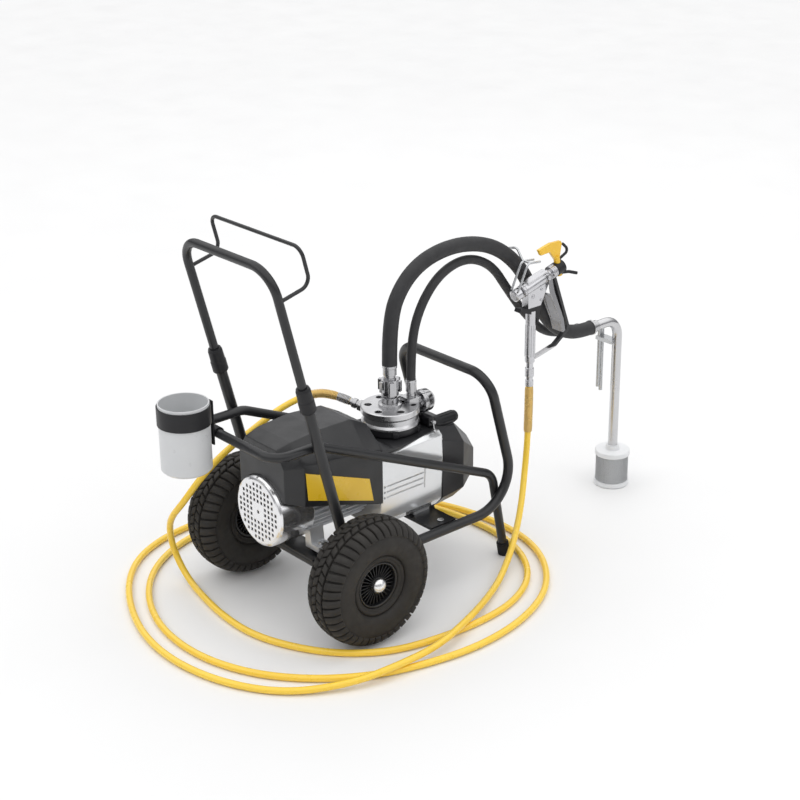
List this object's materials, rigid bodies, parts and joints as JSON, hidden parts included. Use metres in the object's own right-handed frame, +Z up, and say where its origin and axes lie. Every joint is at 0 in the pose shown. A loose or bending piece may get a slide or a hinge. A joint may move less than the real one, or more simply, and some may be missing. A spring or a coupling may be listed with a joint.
{
  "type": "airless paint sprayer",
  "caption": "Airless paint sprayer on a two-wheeled tube-frame cart, with motor and diaphragm pump, suction set, coiled pressure hose, hung spray gun and cup.",
  "frame": {"origin": "on the floor, at the middle of the footprint of the rigid machine: halfway between the cup band's rear and the strainer's front, and halfway across the track", "axes": "+Z up, +Y towards the front hoop and the suction strainer, +X towards the wheel on the right when looking along +Y"},
  "size_m": [0.9335, 1.4521, 0.9292],
  "materials": {
    "frame_paint": "satin anthracite powder coat",
    "bright_steel": "machined",
    "chrome_cap": "polished",
    "black_rubber": "matte moulded rubber",
    "cowl_white": "satin white enamel",
    "motor_alloy": "grey cast aluminium",
    "laminations": "stacked plates",
    "fan_plastic": "moulded",
    "shroud_plastic": "fine-grained moulded plastic",
    "label_gold": "satin yellow-gold plate",
    "housing_silver": "light silver paint on a casting",
    "black_casting": "semi-gloss black",
    "head_steel": "turned and polished stainless steel",
    "valve_chrome": "polished",
    "hose_grey": "matte dark grey rubber",
    "hose_yellow": "satin-gloss yellow jacket",
    "spring_gold": "closely wound wire",
    "pipe_alloy": "drawn, slightly brushed",
    "strainer_white": "moulded",
    "screen_mesh": "woven wire",
    "gun_alloy": "bright polished casting",
    "black_plastic": "fine-grained moulded plastic",
    "tip_yellow": "glossy moulded",
    "cup_grey": "satin light grey",
    "tyre_rubber": "matte tread rubber",
    "rim_black": "semi-gloss moulded"
  },
  "bodies": {
    "root": {"lower_frame": "frame_paint", "upper_rail": "frame_paint", "uprights": "frame_paint", "rear_cross_tube": "frame_paint", "wheel_axle": "bright_steel", "axle_caps": "chrome_cap", "rubber_feet": "black_rubber", "mount_plates": "frame_paint", "fasteners": "bright_steel", "bearings": "bright_steel", "fan_cowl": "cowl_white", "motor_housing": "motor_alloy", "end_shields": "motor_alloy", "stator": "laminations", "shroud": "shroud_plastic", "label_plate": "label_gold", "pump_housing": "housing_silver", "front_cap": "black_casting", "piston": "bright_steel", "diaphragm": "black_rubber", "head_base": "black_casting", "head_disc": "head_steel", "inlet_valve": "valve_chrome", "inlet_nut": "valve_chrome", "valve_block": "valve_chrome", "outlet_valve": "valve_chrome", "valve_box": "black_casting", "outlet_fitting": "valve_chrome", "hose_ferrules": "valve_chrome", "suction_hose": "hose_grey", "return_hose": "hose_grey", "suction_tube": "pipe_alloy", "return_tube": "bright_steel", "strainer_body": "strainer_white", "strainer_screen": "screen_mesh", "pressure_hose": "hose_yellow", "spring_guards": "spring_gold", "gun_body": "gun_alloy", "gun_grip": "gun_alloy", "gun_saddle": "black_plastic", "trigger_guard": "black_plastic", "gun_hook": "bright_steel"},
    "handle": {"handle_tube": "frame_paint", "hose_rack": "frame_paint"},
    "collar_right": {"clamp_collar_right": "black_plastic"},
    "collar_left": {"clamp_collar_left": "black_plastic"},
    "cup": {"cup": "cup_grey", "cup_band": "black_plastic"},
    "wheel_right": {"tyre_right": "tyre_rubber", "rim_right": "rim_black"},
    "wheel_left": {"tyre_left": "tyre_rubber", "rim_left": "rim_black"},
    "rotor": {"rotor_shaft": "bright_steel", "cooling_fan": "fan_plastic"},
    "pressure_knob": {"pressure_knob": "black_plastic"},
    "relief_lever": {"relief_lever": "valve_chrome"},
    "switch_rocker": {"switch_rocker": "black_plastic"},
    "gun_trigger": {"gun_trigger": "gun_alloy"},
    "tip_guard": {"tip_guard": "black_plastic"},
    "spray_tip": {"spray_tip": "tip_yellow"}
  },
  "joints": [
    {"name": "wheel_right_spin", "type": "hinge", "parent": "root", "child": "wheel_right", "pos_m": [0.231, -0.3725, 0.15], "axis": [1, 0, 0], "continuous": true},
    {"name": "wheel_left_spin", "type": "hinge", "parent": "root", "child": "wheel_left", "pos_m": [-0.231, -0.3725, 0.15], "axis": [1, 0, 0], "continuous": true},
    {"name": "handle_slide", "type": "slide", "parent": "root", "child": "handle", "axis": [0, -0.2516, 0.9678], "range_m": [-0.18, 0]},
    {"name": "collar_right_turn", "type": "hinge", "parent": "root", "child": "collar_right", "pos_m": [0.16, -0.4776, 0.59], "axis": [0, -0.2516, 0.9678], "range_deg": [0, 90]},
    {"name": "collar_left_turn", "type": "hinge", "parent": "root", "child": "collar_left", "pos_m": [-0.16, -0.4776, 0.59], "axis": [0, -0.2516, 0.9678], "range_deg": [0, 90]},
    {"name": "cup_lift", "type": "slide", "parent": "root", "child": "cup", "axis": [0, 0, 1], "range_m": [0, 0.05]},
    {"name": "rotor_spin", "type": "hinge", "parent": "root", "child": "rotor", "pos_m": [0, -0.3725, 0.274], "axis": [0, 1, 0], "continuous": true},
    {"name": "pressure_knob_turn", "type": "hinge", "parent": "root", "child": "pressure_knob", "pos_m": [0.046, -0.0232, 0.366], "axis": [0, 1, 0], "range_deg": [0, 270]},
    {"name": "relief_lever_turn", "type": "hinge", "parent": "root", "child": "relief_lever", "pos_m": [0.0623, -0.0345, 0.38], "axis": [-1, 0, 0], "range_deg": [0, 90]},
    {"name": "switch_rock", "type": "hinge", "parent": "root", "child": "switch_rocker", "pos_m": [-0.107, -0.3305, 0.341], "axis": [0, 0, 1], "range_deg": [-8, 8]},
    {"name": "trigger_pull", "type": "hinge", "parent": "root", "child": "gun_trigger", "pos_m": [0.062, 0.3315, 0.657], "axis": [-1, 0, 0], "range_deg": [0, 18], "stiffness_Nm_per_rad": 1.5},
    {"name": "tip_guard_turn", "type": "hinge", "parent": "root", "child": "tip_guard", "pos_m": [0.062, 0.3795, 0.668], "axis": [0, 0.9659, 0.2588], "range_deg": [0, 90]},
    {"name": "tip_turn", "type": "hinge", "parent": "tip_guard", "child": "spray_tip", "pos_m": [0.062, 0.3795, 0.668], "axis": [0, -0.2588, 0.9659], "range_deg": [0, 180]}
  ]
}
